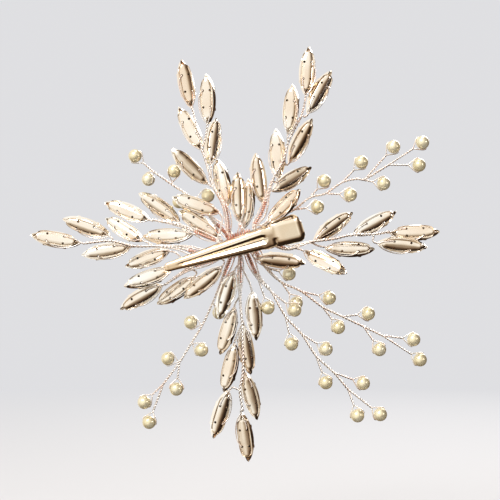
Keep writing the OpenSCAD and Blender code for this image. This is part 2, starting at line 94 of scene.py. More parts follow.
# A stem is [x, y, z] points from its outer end to the bundle. A stone is [stem point, x, y, z of
# its inner end, heading, rise, roll].
STONE_SPRIGS = {
    "left_low": dict(
        line=[[-47, 6, 0.3], [-39, 5.6, 1], [-32, 5.2, -0.5], [-26, 5, -0.5], [-19, 4.8, -1],
              [-13, 4.8, -2.4], [-8.6, 4.8, -1.9]],
        stones=[[0, -48, 6.5, 0.5, 170, 0, 10], [1, -39.5, 6, 2.5, 161, 5, -15],
                [2, -33, 6.4, -0.8, 189, 0, 0], [3, -30, 6.2, 1.6, 150, 26, 10]]),
    "left_high": dict(
        line=[[-27, 8.8, 7.4], [-18.5, 8.4, 5.5], [-11, 7.4, 2.4], [-7.6, 5.8, 1.2]],
        stones=[[0, -28, 9.4, 7.4, 159, 10, 0], [1, -19.2, 9.2, 6.5, 145, 5, -20],
                [2, -14.8, 7.8, 3.2, 182, 0, 15], [3, -6.8, 8, 1.8, 147, 4, -10],
                [3, -6.9, 7.6, 9.5, 161, 2, 10]]),
    "lower_left": dict(
        line=[[-23, 5.9, -11.9], [-15.5, 5.4, -7], [-9, 5, -4.8], [-7, 5, -3.8]],
        stones=[[1, -22, 8.6, -1.8, 200, 14, 0], [1, -20.8, 5.2, -7, 199, -10, 15],
                [0, -23.8, 6, -12.2, 210, 10, -10], [1, -14.3, 9, -9.5, 215, 14, 15],
                [3, -6, 5.8, -6.4, 220, 0, 0]]),
    "top_left": dict(
        line=[[-12, 7, 28], [-10, 6.4, 21.5], [-9, 6, 17.5], [-5.5, 5.6, 11.5], [-4.4, 5.4, 7],
              [-4.2, 5, 3.8]],
        stones=[[0, -15, 7.5, 40.5, 102, 4, 10], [0, -10.5, 7, 35.5, 92, 0, -10],
                [1, -12.3, 7, 28, 118, 8, 0], [2, -9.3, 7.6, 23.8, 83, 16, 20],
                [2, -10.2, 6, 17.8, 135, -6, 10], [3, -4.9, 6.2, 11.5, 103, 12, -15]]),
    "top_pair": dict(
        line=[[-0.9, 5.2, 6.2], [-0.5, 5.2, 4.8]],
        stones=[[0, -0.7, 5.6, 6.6, 92, 4, 15], [0, 0.2, 9, 4.8, 85, 4, -10]]),
    "top_right": dict(
        line=[[17.4, 7.5, 38.2], [13.5, 7, 30.5], [12, 6.4, 25], [8.7, 6, 18.7], [5.7, 5.6, 9.7],
              [3.4, 5.2, 5.8]],
        stones=[[0, 18.6, 8, 44.2, 86, 5, 0], [0, 19.5, 7.6, 38.8, 61, 8, 15],
                [1, 13.2, 6.8, 32.5, 85, 0, -10], [2, 13.8, 9.4, 24.2, 62, 0, 10],
                [3, 10.2, 7.4, 19.6, 93, 6, -15], [3, 9, 8, 16, 32, 20, 0],
                [4, 6, 6, 12.2, 98, 0, 10], [5, 6.9, 5.4, 6.5, 46, 15, -20]]),
    "right": dict(
        line=[[43.5, 8, 3.8], [38.7, 6.2, 3], [32, 5.8, 2.8], [26.7, 5.4, 1.6], [19.8, 5, 0.7],
              [13.5, 4.8, -1.2], [8, 4.9, 0.6], [5.4, 4.9, 1.9]],
        stones=[[0, 43.6, 9, 3.5, 2, 0, -10], [1, 39.6, 6.2, 0.2, -5, 0, 10],
                [2, 32.7, 6, 2.9, 28, 10, 0], [4, 24.4, 8.2, -0.8, -1, 4, -15],
                [4, 21.4, 7.4, 1.1, 36, 14, 10], [5, 17.8, 6.8, -1.8, -28, -26, 0],
                [7, 3.6, 7.4, -4.4, -6, 0, 15]]),
    "bottom": dict(
        line=[[0, 6.8, -49.2], [-0.9, 6.4, -43], [0, 6, -37.2], [-0.3, 5.8, -23.4],
              [-0.9, 5.4, -15.2], [-0.8, 5, -6], [-0.8, 5, -3.8]],
        stones=[[0, -0.6, 7, -50, -82, 6, 10], [1, -4.2, 6.6, -43.2, -107, 0, -10],
                [2, 0.4, 7.2, -37.8, -75, 4, 0], [3, -2.7, 9.2, -29.6, -103, 6, 15],
                [3, 0.3, 7, -23.7, -81, 0, -15], [4, -2.7, 8.6, -18.6, -107, 4, 10],
                [5, 2.7, 6.2, -13.8, -85, 6, 0], [5, -2.5, 5.3, -7.8, -107, 0, -10]]),
}

# A pearl is [stem point, x, y, z of its centre]
PEARL_SPRIGS = {
    "pearls_top_right": dict(
        line=[[43.5, 12, 23.8], [36.5, 11.6, 19.6], [34, 11.4, 19.6], [29.5, 11.2, 18.5],
              [24.6, 11, 15.2], [20, 10.8, 14], [15.3, 10.6, 10.4], [9.5, 10.6, 7.5], [4, 8.6, 3]],
        pearls=[[0, 53.7, 12.5, 30.5], [0, 52.6, 11.8, 23.7], [1, 45, 12, 29.2],
                [2, 42, 12, 18.2], [3, 35.4, 12, 24.6], [4, 32, 11, 14.8], [5, 24.3, 12, 19],
                [6, 22.2, 11, 11.2]]),
    "pearls_top_left": dict(
        line=[[-27, 13.4, 22], [-21.3, 13, 18], [-15.5, 12.6, 14], [-9, 12.2, 7.5],
              [-3, 8.2, 1.2]],
        pearls=[[0, -32.4, 13.8, 26.6], [0, -28.5, 15, 19.6], [1, -20.7, 13.4, 22],
                [2, -19.2, 13.4, 12.8], [2, -10.5, 13, 14.6]]),
    "pearls_right": dict(
        line=[[41.7, 12, -27.2], [36, 11.8, -24.5], [29.7, 11.6, -21.5], [23.7, 11.4, -18.6],
              [17.4, 11.2, -14], [11.4, 11.4, -11.2], [7, 11.2, -7], [2.4, 8.2, 0.4]],
        pearls=[[0, 53, 12.5, -34.5], [0, 51, 12, -28.4], [1, 40.8, 12, -31.4],
                [2, 37.5, 12.5, -20.7], [3, 28.5, 12, -24.8], [4, 25.8, 12, -16],
                [5, 15.9, 12, -17.5], [6, 13.8, 12.6, -8.8]]),
    "pearls_lower_right": dict(
        line=[[31.2, 9, -43], [27, 8.8, -38], [21.6, 8.6, -32.9], [17.4, 8.4, -26.5],
              [12.6, 8.2, -21.3], [8.4, 8, -14], [4.2, 7.8, -9.2], [0.8, 8, -1.6]],
        pearls=[[0, 40.8, 9.5, -50.5], [0, 34, 9, -50.8], [1, 35.7, 9, -41.2],
                [2, 24.6, 9, -41], [3, 24.6, 8, -31], [4, 14.4, 8.6, -29.5],
                [5, 15.3, 7.6, -19.4], [6, 7.4, 8.6, -18.8]]),
    "pearls_lower_left": dict(
        line=[[-23.7, 10.6, -41.5], [-18.9, 10.2, -35], [-15.3, 10, -29.2], [-12, 9.8, -23.8],
              [-9, 9.6, -17.3], [-6.5, 9.4, -11.2], [-3, 8, -2.2]],
        pearls=[[0, -28, 11, -53], [0, -29.4, 10.4, -47], [1, -19.8, 10, -43],
                [1, -22.4, 11, -34], [2, -12.3, 10, -31.4], [3, -15.6, 11, -23.2],
                [4, -7.2, 12.4, -20.4]]),
}


# ---- Materials ----
def new_material(name):
    """(material, its nodes, its links, its Principled shader)"""
    mat = bpy.data.materials.new(name)
    mat.use_nodes = True
    nodes = mat.node_tree.nodes
    return mat, nodes, mat.node_tree.links, nodes["Principled BSDF"]


def noise(nodes, links, coords, scale, detail=3):
    tex = nodes.new("ShaderNodeTexNoise")
    tex.inputs["Scale"].default_value = scale
    tex.inputs["Detail"].default_value = detail
    links.new(coords, tex.inputs["Vector"])
    return tex.outputs["Fac"]


def ramp(nodes, links, fac, stops):
    node = nodes.new("ShaderNodeValToRGB")
    elements = node.color_ramp.elements
    while len(elements) < len(stops):
        elements.new(0.5)
    for element, (place, colour) in zip(elements, stops):
        element.position = place
        element.color = (*colour, 1)
    links.new(fac, node.inputs["Fac"])
    return node.outputs["Color"]


def spread(nodes, links, fac, low, high):
    node = nodes.new("ShaderNodeMapRange")
    node.inputs["To Min"].default_value = low
    node.inputs["To Max"].default_value = high
    links.new(fac, node.inputs["Value"])
    return node.outputs["Result"]


def bump(nodes, links, height, distance):
    node = nodes.new("ShaderNodeBump")
    node.inputs["Distance"].default_value = distance
    node.inputs["Strength"].default_value = 1.0
    links.new(height, node.inputs["Height"])
    return node.outputs["Normal"]


def metal(name, dark, mid, light, rough, ripple, ripple_scale):
    """Plated metal: a slow drift of tint, uneven gloss and a soft ripple from pressing"""
    mat, nodes, links, shader = new_material(name)
    place = nodes.new("ShaderNodeTexCoord").outputs["Object"]
    tint = noise(nodes, links, place, 90, 2)
    links.new(ramp(nodes, links, tint, [(0.3, dark), (0.5, mid), (0.7, light)]),
              shader.inputs["Base Color"])
    shader.inputs["Metallic"].default_value = 1.0
    wear = noise(nodes, links, place, 500, 3)
    links.new(spread(nodes, links, wear, rough * 0.7, rough * 1.3), shader.inputs["Roughness"])
    links.new(bump(nodes, links, noise(nodes, links, place, ripple_scale, 1), ripple),
              shader.inputs["Normal"])
    return mat


def pearl_material():
    mat, nodes, links, shader = new_material("pearl_coat")
    place = nodes.new("ShaderNodeTexCoord").outputs["Object"]
    cloud = noise(nodes, links, place, 200, 3)
    body = ramp(nodes, links, cloud, [(0.3, (0.84, 0.74, 0.46)), (0.5, (0.90, 0.82, 0.56)),
                                      (0.7, (0.95, 0.90, 0.70))])
    # painted shade: the base colour turns olive brown where the bead's surface turns away from the
    # view, darkening its outline
    rim = nodes.new("ShaderNodeLayerWeight")
    rim.inputs["Blend"].default_value = 0.35
    mix = nodes.new("ShaderNodeMix")
    mix.data_type = "RGBA"
    mix.inputs["B"].default_value = (0.46, 0.33, 0.13, 1)
    links.new(rim.outputs["Facing"], mix.inputs["Factor"])
    links.new(body, mix.inputs["A"])
    links.new(mix.outputs["Result"], shader.inputs["Base Color"])
    shader.inputs["Roughness"].default_value = 0.28
    shader.inputs["Metallic"].default_value = 0.5
    shader.inputs["Coat Weight"].default_value = 0.8
    shader.inputs["Coat Roughness"].default_value = 0.1
    links.new(bump(nodes, links, noise(nodes, links, place, 1500, 3), 0.000006),
              shader.inputs["Normal"])
    return mat


def facet_glint_material(name, stops, metallic, rough, coat, transmission=0.0):
    """Cut stone with painted reflections: every facet has its own random value in the facet
    attribute, and the ramp turns it into a dark or bright colour that stands in for what the facet
    mirrors
    """
    mat, nodes, links, shader = new_material(name)
    facet = nodes.new("ShaderNodeAttribute")
    facet.attribute_name = "facet"
    links.new(ramp(nodes, links, facet.outputs["Fac"], stops), shader.inputs["Base Color"])
    place = nodes.new("ShaderNodeTexCoord").outputs["Object"]
    links.new(bump(nodes, links, noise(nodes, links, place, 700, 2), 0.00002),
              shader.inputs["Normal"])
    shader.inputs["Metallic"].default_value = metallic
    shader.inputs["Roughness"].default_value = rough
    shader.inputs["Coat Weight"].default_value = coat
    shader.inputs["Coat Roughness"].default_value = 0.02
    shader.inputs["Transmission Weight"].default_value = transmission
    shader.inputs["IOR"].default_value = 1.54
    return mat


CLIP_METAL = metal("clip_plate", (0.91, 0.71, 0.49), (0.96, 0.80, 0.61), (0.98, 0.88, 0.73),
                   0.13, 0.00003, 220)
CUP_METAL = metal("cup_plate", (0.85, 0.71, 0.56), (0.94, 0.85, 0.73), (0.99, 0.96, 0.90),
                  0.13, 0.00006, 240)
WIRE_METAL = metal("wire_plate", (0.94, 0.77, 0.69), (1.0, 0.93, 0.88), (1.0, 0.98, 0.96),
                   0.27, 0.00002, 900)
COPPER = metal("copper_wire", (0.42, 0.14, 0.07), (0.68, 0.29, 0.17), (0.88, 0.50, 0.35),
               0.24, 0.00002, 900)
STEEL = metal("spring_wire", (0.60, 0.52, 0.46), (0.74, 0.68, 0.62), (0.86, 0.82, 0.78),
              0.25, 0.00002, 900)
PEARL = pearl_material()
# painted reflections: crown facets run from dark brown to white and foil facets from orange brown
# to cream, one random tone per facet
CROWN = facet_glint_material("stone_crown", [(0.0, (0.40, 0.31, 0.23)), (0.3, (0.74, 0.66, 0.57)),
                                       (0.6, (0.93, 0.91, 0.87)), (1.0, (1.0, 1.0, 1.0))],
                       0.45, 0.04, 1.0, 0.2)
FOIL = facet_glint_material("stone_foil", [(0.0, (0.50, 0.24, 0.11)), (0.25, (0.76, 0.50, 0.30)),
                                     (0.5, (0.93, 0.80, 0.62)), (1.0, (0.99, 0.95, 0.87))],
                      0.85, 0.18, 0.6)


# ---- Meshes ----
class Shape:
    """Collects corners and faces in mm, then becomes one object"""

    def __init__(self):
        self.corners = []
        self.faces = []
        self.materials = []
        self.values = []

    def add(self, corners, faces, material=0, values=None):
        first = len(self.corners)
        self.corners.extend([tuple(c) for c in corners])
        self.faces.extend([tuple(first + i for i in f) for f in faces])
        self.materials.extend([material] * len(faces) if isinstance(material, int) else material)
        self.values.extend(values if values is not None else [0.5] * len(faces))

    def add_copy(self, other, matrix):
        corners = [matrix @ Vector(c) for c in other.corners]
        self.add(corners, other.faces, other.materials, other.values)

    def to_object(self, name, materials, smooth=True, facets=False):
        mesh = bpy.data.meshes.new(name)
        mesh.from_pydata([[v * MM for v in c] for c in self.corners], [], self.faces)
        for material in materials:
            mesh.materials.append(material)
        mesh.polygons.foreach_set("material_index", self.materials)
        mesh.polygons.foreach_set("use_smooth", [smooth] * len(self.faces))
        if facets:
            attribute = mesh.attributes.new("facet", "FLOAT", "FACE")
            attribute.data.foreach_set("value", self.values)
        mesh.update()
        obj = bpy.data.objects.new(name, mesh)
        bpy.context.scene.collection.objects.link(obj)
        return obj


def on_curve(p, i, t):
    """A point on the smooth curve through p[i] and p[i + 1], as in the part's source"""
    before = 2 * p[0] - p[1] if i == 0 else p[i - 1]
    after = p[i + 2] if i + 2 < len(p) else 2 * p[i + 1] - p[i]
    return 0.5 * (2 * p[i] + (p[i + 1] - before) * t
                  + (2 * before - 5 * p[i] + 4 * p[i + 1] - after) * t * t
                  + (3 * p[i] - before - 3 * p[i + 1] + after) * t ** 3)


def smooth_line(points, steps=12):
    p = [np.array(q, float) for q in points]
    line = [on_curve(p, i, k / steps) for i in range(len(p) - 1) for k in range(steps)]
    return np.array(line + [p[-1]])


def evenly(line, step):
    """The same line with its points a fixed distance apart"""
    line = np.asarray(line, float)
    along = np.concatenate([[0], np.cumsum(np.linalg.norm(np.diff(line, axis=0), axis=1))])
    count = max(2, int(round(along[-1] / step)) + 1)
    places = np.linspace(0, along[-1], count)
    return np.stack([np.interp(places, along, line[:, k]) for k in range(3)], axis=1)


def frames(line):
    """(side, other side) at each point of a line, carried along without twisting"""
    tangents = np.gradient(line, axis=0)
    tangents /= np.linalg.norm(tangents, axis=1)[:, None]
    side = np.cross(tangents[0], [0, 1, 0] if abs(tangents[0][1]) < 0.8 else [1, 0, 0])
    sides = []
    for t in tangents:
        side = side - np.dot(side, t) * t
        side /= np.linalg.norm(side)
        sides.append(side)
    sides = np.array(sides)
    return sides, np.cross(tangents, sides)


def add_tube(shape, line, radius, sides=6):
    """A round wire along a line, closed at both ends"""
    line = np.asarray(line, float)
    u, v = frames(line)
    radius = np.broadcast_to(radius, (len(line),))
    corners = []
    for i, p in enumerate(line):
        for k in range(sides):
            a = 2 * math.pi * k / sides
            corners.append(p + radius[i] * (math.cos(a) * u[i] + math.sin(a) * v[i]))
    faces = [(i * sides + k, i * sides + (k + 1) % sides, (i + 1) * sides + (k + 1) % sides,
              (i + 1) * sides + k) for i in range(len(line) - 1) for k in range(sides)]
    last = (len(line) - 1) * sides
    faces.append(tuple(range(sides - 1, -1, -1)))
    faces.append(tuple(last + k for k in range(sides)))
    shape.add(corners, faces)


def twisted(line, offset, pitch, strands):
    """The lines of strands twisted round a line"""
    line = evenly(line, pitch / 9)
    u, v = frames(line)
    step = np.linalg.norm(line[1] - line[0])
    angle = 2 * math.pi * np.arange(len(line)) * step / pitch
    offset = np.broadcast_to(offset, (len(line),))[:, None]
    found = []
    for s in range(strands):
        a = (angle + 2 * math.pi * s / strands)[:, None]
        found.append(line + offset * (np.cos(a) * u + np.sin(a) * v))
    return found


def add_twist(shape, line, wire, offset, pitch, strands=2, sides=6):
    for strand in twisted(line, offset, pitch, strands):
        add_tube(shape, strand, wire, sides)


def stone_place(s):
    """Where a setting sits: its inner end at the origin, its length along X, its face to +Y"""
    return (Matrix.Translation(s[1:4]) @ Matrix.Rotation(math.radians(-s[4]), 4, "Y")
            @ Matrix.Rotation(math.radians(s[5]), 4, "Z")
            @ Matrix.Rotation(math.radians(s[6]), 4, "X"))


def pearl_place(start, centre):
    """Where a pearl sits: its stalk along +Z, its bore along X"""
    d = np.array(start, float) - np.array(centre, float)
    return (Matrix.Translation(centre) @ Matrix.Rotation(math.atan2(d[1], d[0]), 4, "Z")
            @ Matrix.Rotation(math.acos(d[2] / np.linalg.norm(d)), 4, "Y"))


CLIP = (Matrix.Rotation(math.radians(-CLIP_ANGLE), 4, "Y")
        @ Matrix.Rotation(math.radians(CLIP_ROLL), 4, "X"))


def in_clip(points):
    """Points given along, through and across the clip, in the part's frame"""
    return np.array([CLIP @ Vector(p) for p in points])


# ---- Settings and stones ----
def oval_half(x, length, width):
    """Half width of a blunt-tipped leaf outline at x from its middle"""
    off = min(1.0, abs(x) / (length / 2))
    return width / 2 * (1 - off ** 2.1) ** 0.78


def cup_section(x, half, cut_end):
    """(across, depth) of a cup at x: a domed back strip, a crease beside it and a sloping wall"""
    off = abs(x - STONE_LEN / 2) / (STONE_LEN / 2)
    reach = 0.74 if cut_end else 0.80
    strip = STRIP_HALF * 1.12 * math.sqrt(max(0.0, 1 - (off / reach) ** (6 if cut_end else 2.6)))
    strip = max(0.02, min(strip, half * 0.72))
    lift = CUP_DEPTH * 0.55 * soft((off - 0.68) / 0.36)
    sink = 0.36 * soft(strip / 0.5)
    dome = 0.34 * min(1, strip / 1.2) ** 2
    row = [(strip * k, lift + dome * k * k) for k in (0, 0.2, 0.4, 0.6, 0.78, 0.92)]
    start = min(strip + 0.40, half - 0.06)
    row.append((strip, lift + dome + 0.05))
    row.append((strip + (start - strip) * 0.2, lift + dome + sink))
    row.append((strip + (start - strip) * 0.75, lift + dome + sink))
    low = lift + dome * 0.8
    for k in (0, 0.25, 0.5, 0.75, 1):
        row.append((start + (half - start) * k, low + (CUP_DEPTH - low) * k ** 1.3))
    return row


def cup_template(cut_end):
    """A pressed navette cup with drilled edges and four claws; cut_end leaves its tips open"""
    along = 44
    shape = Shape()
    sheet = Shape()
    rows = []
    for i in range(along + 1):
        x = STONE_LEN * (0.5 - 0.5 * math.cos(math.pi * (0.04 + 0.92 * i / along)))
        half = max(0.14, oval_half(x - STONE_LEN / 2, STONE_LEN, STONE_WID) - 0.04)
        section = cup_section(x, half, cut_end)
        rows.append([(x, y, -z) for z, y in reversed(section[1:])]
                    + [(x, y, z) for z, y in section])
    wide = len(rows[0])
    faces = []
    for i in range(along):
        off = abs((rows[i][0][0] + rows[i + 1][0][0]) / STONE_LEN - 1)
        for j in range(wide - 1):
            inside = 3 <= j < wide - 4
            if cut_end and off > 0.76 and inside:
                continue
            faces.append((i * wide + j, i * wide + j + 1, (i + 1) * wide + j + 1,
                          (i + 1) * wide + j))
    sheet.add([c for row in rows for c in row], faces)
    cup = sheet.to_object("cup", [])
    thick = cup.modifiers.new("thick", "SOLIDIFY")
    thick.thickness = CUP_SHEET * MM
    thick.offset = 1
    drills = drill_object()
    cut = cup.modifiers.new("cut", "BOOLEAN")
    cut.operation = "DIFFERENCE"
    cut.object = drills
    cut.solver = "EXACT"
    deps = bpy.context.evaluated_depsgraph_get()
    done = bpy.data.meshes.new_from_object(cup.evaluated_get(deps))
    shape.add([[v / MM for v in c.co] for c in done.vertices],
              [tuple(p.vertices) for p in done.polygons])
    bpy.data.objects.remove(cup)
    bpy.data.objects.remove(drills)
    for x in CLAW_X:
        for s in (-1, 1):
            add_claw(shape, x, s)
    return shape


def drill_object():
    """Four pins that cut the wire holes along both edges of the strip"""
    drill = Shape()
    around = 16
    for x in HOLE_X:
        for s in (-1, 1):
            ring = [(x + HOLE_R * math.cos(2 * math.pi * k / around),
                     HOLE_R * math.sin(2 * math.pi * k / around) + s * HOLE_Z)
                    for k in range(around)]
            corners = [(a, -1, b) for a, b in ring] + [(a, 1, b) for a, b in ring]
            faces = [(k, (k + 1) % around, around + (k + 1) % around, around + k)
                     for k in range(around)]
            faces += [tuple(range(around - 1, -1, -1)), tuple(range(around, 2 * around))]
            drill.add(corners, faces)
    obj = drill.to_object("drill", [])
    tidy_normals(obj)
    return obj


def add_claw(shape, x, s):
    """A tab that rises from the rim and bends over the stone"""
    rim = oval_half(x - STONE_LEN / 2, STONE_LEN, STONE_WID)
    path = [(CUP_DEPTH - 0.7, rim - 0.42, 0.55), (CUP_DEPTH + 0.1, rim - 0.02, 0.5),
            (CUP_DEPTH + 0.42, rim - 0.08, 0.44), (CUP_DEPTH + 0.66, rim - 0.4, 0.36),
            (CUP_DEPTH + 0.76, rim - 0.85, 0.24)]
    corners = []
    for y, z, half in path:
        for dx, dy in ((-1, 0), (1, 0), (0.8, 1), (-0.8, 1)):
            corners.append((x + dx * half, y + dy * 0.16, s * (z + (0.1 if dy else 0))))
    faces = [(4 * i + k, 4 * i + (k + 1) % 4, 4 * i + 4 + (k + 1) % 4, 4 * i + 4 + k)
             for i in range(len(path) - 1) for k in range(4)]
    last = 4 * (len(path) - 1)
    faces += [(3, 2, 1, 0), (last, last + 1, last + 2, last + 3)]
    if s < 0:
        faces = [tuple(reversed(f)) for f in faces]
    shape.add(corners, faces)


def oval_loop(length, width, y, count, shift=0.0):
    """Corners round a pointed oval centred half way along a setting"""
    loop = []
    for k in range(count):
        a = 2 * math.pi * (k + shift) / count
        x = length / 2 * math.cos(a)
        half = oval_half(x, length, width)
        loop.append((STONE_LEN / 2 + x, y, math.copysign(half, math.sin(a))))
    return loop


def stone_template():
    """A cut navette: table and crown facets above the girdle, a keeled foil back below it"""
    count = 20
    length = STONE_LEN - 0.7
    width = STONE_WID - 0.75
    loops = [oval_loop(length * 0.5, width * 0.12, 0.42, count),
             oval_loop(length * 0.80, width * 0.52, 1.0, count, 0.5),
             oval_loop(length, width, CUP_DEPTH - 0.15, count),
             oval_loop(length, width, CUP_DEPTH + 0.02, count),
             oval_loop(length * 0.86, width * 0.80, CUP_DEPTH + 0.55, count, 0.5),
             oval_loop(length * 0.62, width * 0.54, CUP_DEPTH + 0.86, count),
             oval_loop(length * 0.30, width * 0.16, CUP_DEPTH + 0.95, count, 0.5)]
    corners = [c for loop in loops for c in loop]
    faces = []
    for i in range(len(loops) - 1):
        shifted = 1 if i in (1, 4) else 0
        for k in range(count):
            a, b = i * count + k, i * count + (k + 1) % count
            c, d = a + count, b + count
            if shifted:
                faces += [(a, b, d), (a, d, c)]
            else:
                faces += [(a, b, c), (b, d, c)]
    faces.append(tuple(range(count - 1, -1, -1)))
    faces.append(tuple((len(loops) - 1) * count + k for k in range(count)))
    # the first two bands and the cap before the last are the foil back
    below = 2 * 2 * count
    shape = Shape()
    materials = [1 if i < below or i == len(faces) - 2 else 0 for i in range(len(faces))]
    # one random value per facet, which the stone finishes turn into painted reflections
    values = [random.random() for _ in faces]
    shape.add(corners, faces, materials, values)
    return shape


# ---- Pearls ----
def pearl_template():
    """A drilled bead, its bore along X"""
    shape = Shape()
    rings, around = 20, 32
    first = math.asin(PEARL_BORE / PEARL_R)
    profile = [(math.cos(a) * PEARL_R, math.sin(a) * PEARL_R)
               for a in np.linspace(first, math.pi - first, rings)]
    profile += [(x, PEARL_BORE) for x in np.linspace(profile[-1][0], profile[0][0], 4)[1:-1]]
    corners = [(x, r * math.cos(2 * math.pi * k / around), r * math.sin(2 * math.pi * k / around))
               for x, r in profile for k in range(around)]
    n = len(profile)
    faces = [(i * around + k, ((i + 1) % n) * around + k,
              ((i + 1) % n) * around + (k + 1) % around, i * around + (k + 1) % around)
             for i in range(n) for k in range(around)]
    shape.add(corners, faces)
    return shape


def add_pearl_wire(shape, start, centre):
    """A thin wire through the bore that hugs both sides of the bead and twists into its stalk"""
    place = pearl_place(start, centre)
    ring = PEARL_R + 0.2
    reach = np.linalg.norm(np.array(start, float) - np.array(centre, float))
    for s in (-1, 1):
        through = [(s * x, 0, 0) for x in (0, 1.0, 1.9)]
        hug = [(s * ring * math.cos(a), 0, ring * math.sin(a))
               for a in np.radians(np.arange(4, 44, 8))]
        neck = [(s * 0.85, 0, ring + 0.15), (s * 0.2, 0, ring + 0.95)]
        line = evenly(np.array(through + hug + neck), 0.35)
        add_tube(shape, [place @ Vector(p) for p in line], WIRE_R)
    stalk = [place @ Vector((0, 0, z)) for z in np.linspace(ring + 0.8, reach, 4)]
    add_twist(shape, np.array(stalk), WIRE_R, 0.16, 1.7)


# ---- Clip ----
BEND = PIVOT_REACH + 1.5
BACK_Y = 3.1
TIP_Y = 1.1
BLADE_HALF = 3.05
TIP_HALF = 1.3


def blade_half(x):
    if x < -TIP_REACH:
        return math.sqrt(max(0.02, TIP_HALF ** 2 - (x + TIP_REACH) ** 2))
    return min(BLADE_HALF, TIP_HALF + (BLADE_HALF - TIP_HALF) * (x + TIP_REACH) / (TIP_REACH + 4))


def arch(x):
    t = max(0.0, (x + TIP_REACH) / (TIP_REACH + BEND))
    return TIP_Y + (BACK_Y - TIP_Y) * (1 - (1 - t) ** 2)


def soft(t):
    t = min(1.0, max(0.0, t))
    return t * t * (3 - 2 * t)


CHANNEL_START = -TIP_REACH + 2.2
CHANNEL_END = BEND - 1.7
# Across the channel from its middle to its edge: share of the width, share of the depth
CHANNEL = ((0, 0.50), (0.06, 0.52), (0.12, 0.95), (0.18, 1.0), (0.24, 0.95), (0.42, 0.72),
           (0.60, 0.50), (0.80, 0.25), (0.95, 0.05), (1.0, -0.05))
# From the channel's edge to the rim: share of the way, height
FLANK = ((0.08, 1.0), (0.2, 0.992), (0.4, 0.97), (0.6, 0.93), (0.76, 0.87), (0.88, 0.76),
         (0.955, 0.55), (1.0, 0.25), (1.0, 0.0))


def channel_half(x):
    t = min(1.0, max(0.0, (x - CHANNEL_START) / (CHANNEL_END - CHANNEL_START)))
    return min(0.40 + 1.25 * t, blade_half(x) * 0.66)


def channel_depth(x):
    return 0.50 * channel_half(x) * soft((x - CHANNEL_START) / 3.0) * soft((CHANNEL_END - x) / 1.3)


def jaw_rows(x, grooved):
    """(across, height share, sunk depth) of the columns of a blade's outer face at x"""
    half, inner = blade_half(x), channel_half(x)
    narrow = math.sqrt(min(1.0, max(0.0, (CHANNEL_END + 0.2 - x) / 1.6)))
    sunk = channel_depth(x) if grooved else 0.0
    row = [(inner * u * (0.35 + 0.65 * narrow), 1.0, sunk * d) for u, d in CHANNEL]
    edge = row[-1][0]
    row += [(edge + (half - edge) * v, h, 0.0) for v, h in FLANK]
    return row


def jaw_template(ear_at, grooved):
    """One stamped half of the clip with its back to +Y, in the clip's own frame"""
    shape = Shape()
    xs = np.concatenate([-TIP_REACH - TIP_HALF * np.cos(np.radians(np.arange(8, 90, 12))),
                         np.arange(-TIP_REACH, BEND - 0.3, 0.4), [BEND - 0.15]])
    outer, inner = [], []
    for x in xs:
        half, back = blade_half(x), arch(x)
        if x < -TIP_REACH:
            back = 0.35 + (arch(-TIP_REACH) - 0.35) * (half / TIP_HALF) ** 0.7
        edge = 0.04 + 0.42 * soft((x + TIP_REACH - 3) / 2.5)
        if x > PIVOT_REACH - 2.4:
            edge += (back - 1.1 - edge) * soft((x - PIVOT_REACH + 2.4) / 0.8)
        side_out, side_in = [], []
        for z, h, sunk in jaw_rows(x, grooved):
            y = edge + (back - edge) * h - sunk
            side_out.append((x, y, z))
            side_in.append((x, max(edge, y - SHEET * min(1, h * 1.6)),
                            min(z, max(0.05, half - SHEET))))
        outer.append([(a, b, -c) for a, b, c in reversed(side_out[1:])] + side_out)
        inner.append([(a, b, -c) for a, b, c in reversed(side_in[1:])] + side_in)
    count = len(outer[0])
    pad_rows(outer, inner, [p[2] / BLADE_HALF for p in outer[-1]])
    corners = [p for row in outer for p in row] + [p for row in inner for p in row]
    rows = len(outer)
    base = rows * count
    faces = []
    for i in range(rows - 1):
        for j in range(count - 1):
            a, d = i * count + j, (i + 1) * count + j
            b, c = a + 1, d + 1
            faces.append((a, b, c, d))
            faces.append((base + d, base + c, base + b, base + a))
    for i in range(rows - 1):
        a, d = i * count, (i + 1) * count
        faces.append((a, d, base + d, base + a))
        a, d = i * count + count - 1, (i + 1) * count + count - 1
        faces.append((d, a, base + a, base + d))
    for j in range(count - 1):
        faces.append((j + 1, j, base + j, base + j + 1))
        a = (rows - 1) * count + j
        faces.append((a, a + 1, base + a + 1, base + a))
    shape.add(corners, faces)
    for s in (-1, 1):
        add_ear(shape, s * ear_at)
    return shape


def pad_rows(outer, inner, cross):
    """Goes on from the blade over the bend and along the thumb pad, with a rolled lip at its end"""
    slope = math.tan(math.radians(PAD_ANGLE))
    round_r = 2.0
    tip = PAD_LEN - round_r + round_r * np.sin(np.radians(np.arange(0, 90, 11)))
    for d in np.concatenate([[0.25, 0.6, 1.0], np.arange(1.5, PAD_LEN - round_r, 0.6), tip]):
        x = BEND + d
        past = max(0.0, d - (PAD_LEN - round_r))
        half = PAD_HALF - round_r + math.sqrt(max(0.0, round_r ** 2 - past ** 2))
        half = BLADE_HALF + (half - BLADE_HALF) * soft(d / 1.2)
        y = BACK_Y + slope * (d * d / 5 if d < 2.5 else d - 1.25)
        row_out, row_in = [], []
        end = soft((d - PAD_LEN + 1.9) / 1.9) ** 1.4
        for c in cross:
            side = min(1.0, max(-1.0, c))
            crease = 0.42 * soft(1 - abs(d - 0.45) / 0.8) * soft((-0.1 - side) / 0.3)
            lower = 0.42 * soft((-0.62 - side) / 0.16) * soft(d / 1.0)
            fold = max(0.0, (abs(side) - 0.84) / 0.16) ** 1.7
            drop = crease + lower + 0.45 * fold * soft(d / 1.5) + 0.95 * end
            thin = 1 - 0.75 * side ** 4
            row_out.append((x, y - drop, side * half))
            row_in.append((x - 0.3 * end, y - drop - (SHEET + 0.02) * thin,
                           side * (half - 0.28 * side ** 4)))
        outer.append(row_out)
        inner.append(row_in)


